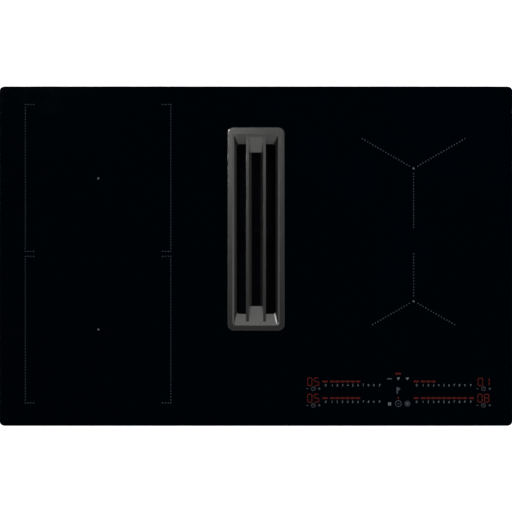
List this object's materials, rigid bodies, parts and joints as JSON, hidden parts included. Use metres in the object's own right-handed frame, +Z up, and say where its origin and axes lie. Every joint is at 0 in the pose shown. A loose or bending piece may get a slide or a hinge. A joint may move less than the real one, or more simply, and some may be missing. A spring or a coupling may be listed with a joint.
{
  "type": "downdraft induction cooktop",
  "caption": "Flush black glass induction cooktop with a long central metal air grille, a lift-out grease filter and drip tray, and a suction fan unit with a rear flat duct outlet below.",
  "frame": {"origin": "on the worktop surface (underside of the foam seal), at the middle of the glass in plan", "axes": "+X to the right, +Y to the rear, +Z up"},
  "size_m": [0.78, 0.516, 0.224],
  "materials": {
    "black_glass": "polished",
    "foam_seal": "foam",
    "silicone": "satin",
    "grille_metal": "satin cast, warm grey coating",
    "pad_silicone": "matt",
    "well_plastic": "matt moulded",
    "filter_black": "black enamel",
    "filter_mesh": "expanded metal",
    "zinc_sheet": "zinc coated, spangled",
    "spring_steel": "bright",
    "mica": "mica paper",
    "litz_copper": "enamelled wire",
    "former_plastic": "moulded",
    "ferrite": "sintered",
    "sensor_silicone": "silicone cap",
    "aluminium_sheet": "mill finish",
    "circuit_board": "green solder mask",
    "heatsink_aluminium": "extruded",
    "component_plastic": "moulded",
    "fan_plastic": "moulded",
    "rotor_plastic": "moulded",
    "carrier_plastic": "moulded",
    "display_red": "red lens",
    "box_plastic": "textured moulding",
    "terminal_plastic": "moulded",
    "gland_nylon": "nylon",
    "tub_plastic": "textured moulding",
    "scroll_plastic": "moulded",
    "impeller_plastic": "glass filled",
    "motor_steel": "zinc",
    "bearing_steel": "ground",
    "bush_rubber": "matt",
    "duct_plastic": "moulded",
    "flap_plastic": "moulded",
    "screw_steel": "zinc plated"
  },
  "bodies": {
    "root": {"base_casing": "zinc_sheet", "board_parts_left": "component_plastic", "board_parts_right": "component_plastic", "cable_gland": "gland_nylon", "coil_former_front_left": "former_plastic", "coil_former_front_right": "former_plastic", "coil_former_rear_left": "former_plastic", "coil_former_rear_right": "former_plastic", "coil_plates": "aluminium_sheet", "coil_sensors": "sensor_silicone", "coil_springs": "spring_steel", "coil_winding_front_left": "litz_copper", "coil_winding_front_right": "litz_copper", "coil_winding_rear_left": "litz_copper", "coil_winding_rear_right": "litz_copper", "cooling_fan_left": "fan_plastic", "cooling_fan_right": "fan_plastic", "display_board": "circuit_board", "display_carrier": "carrier_plastic", "display_modules": "display_red", "fan_control_board": "circuit_board", "fan_control_box": "box_plastic", "ferrite_bars": "ferrite", "flap_pin": "bearing_steel", "glass_bond": "silicone", "glass_panel": "black_glass", "heatsink_left": "heatsink_aluminium", "heatsink_right": "heatsink_aluminium", "inlet_throat": "well_plastic", "mica_sheets": "mica", "motor": "motor_steel", "motor_bearings": "bearing_steel", "motor_bushes": "bush_rubber", "outlet_spigot": "duct_plastic", "plenum_lid": "tub_plastic", "plenum_tub": "tub_plastic", "power_board_left": "circuit_board", "power_board_right": "circuit_board", "rim_seal": "foam_seal", "screws": "screw_steel", "spring_clips": "spring_steel", "terminal_block": "terminal_plastic", "terminal_box": "box_plastic", "throat_gasket": "foam_seal", "volute_lower": "scroll_plastic", "volute_upper": "scroll_plastic"},
    "tray": {"drip_tray": "well_plastic"},
    "filter": {"filter_frame": "filter_black", "filter_mesh_left": "filter_mesh", "filter_mesh_right": "filter_mesh"},
    "grille": {"grille": "grille_metal", "grille_pads": "pad_silicone"},
    "impeller": {"impeller": "impeller_plastic", "impeller_blades": "impeller_plastic", "impeller_ring": "impeller_plastic", "motor_shaft": "bearing_steel"},
    "rotor_left": {"cooling_rotor_left": "rotor_plastic"},
    "rotor_right": {"cooling_rotor_right": "rotor_plastic"},
    "flap": {"outlet_flap": "flap_plastic"},
    "terminal_cover": {"terminal_cover": "box_plastic"}
  },
  "joints": [
    {"name": "tray_lift", "type": "slide", "parent": "root", "child": "tray", "axis": [0, 0, 1], "range_m": [0, 0.2]},
    {"name": "filter_lift", "type": "slide", "parent": "tray", "child": "filter", "axis": [0, 0, 1], "range_m": [0, 0.17]},
    {"name": "grille_lift", "type": "slide", "parent": "filter", "child": "grille", "axis": [0, 0, 1], "range_m": [0, 0.06]},
    {"name": "impeller_spin", "type": "hinge", "parent": "root", "child": "impeller", "pos_m": [0.164, 0.004, -0.15], "axis": [0, 0, 1], "continuous": true},
    {"name": "cooling_left_spin", "type": "hinge", "parent": "root", "child": "rotor_left", "pos_m": [-0.215, -0.172, -0.043], "axis": [0, 0, 1], "continuous": true},
    {"name": "cooling_right_spin", "type": "hinge", "parent": "root", "child": "rotor_right", "pos_m": [0.215, -0.076, -0.043], "axis": [0, 0, 1], "continuous": true},
    {"name": "flap_swing", "type": "hinge", "parent": "root", "child": "flap", "pos_m": [0.201, 0.162, -0.11], "axis": [1, 0, 0], "range_deg": [0, 80]},
    {"name": "terminal_cover_swing", "type": "hinge", "parent": "root", "child": "terminal_cover", "pos_m": [-0.285, 0.1455, -0.092], "axis": [-1, 0, 0], "range_deg": [0, 100]}
  ]
}
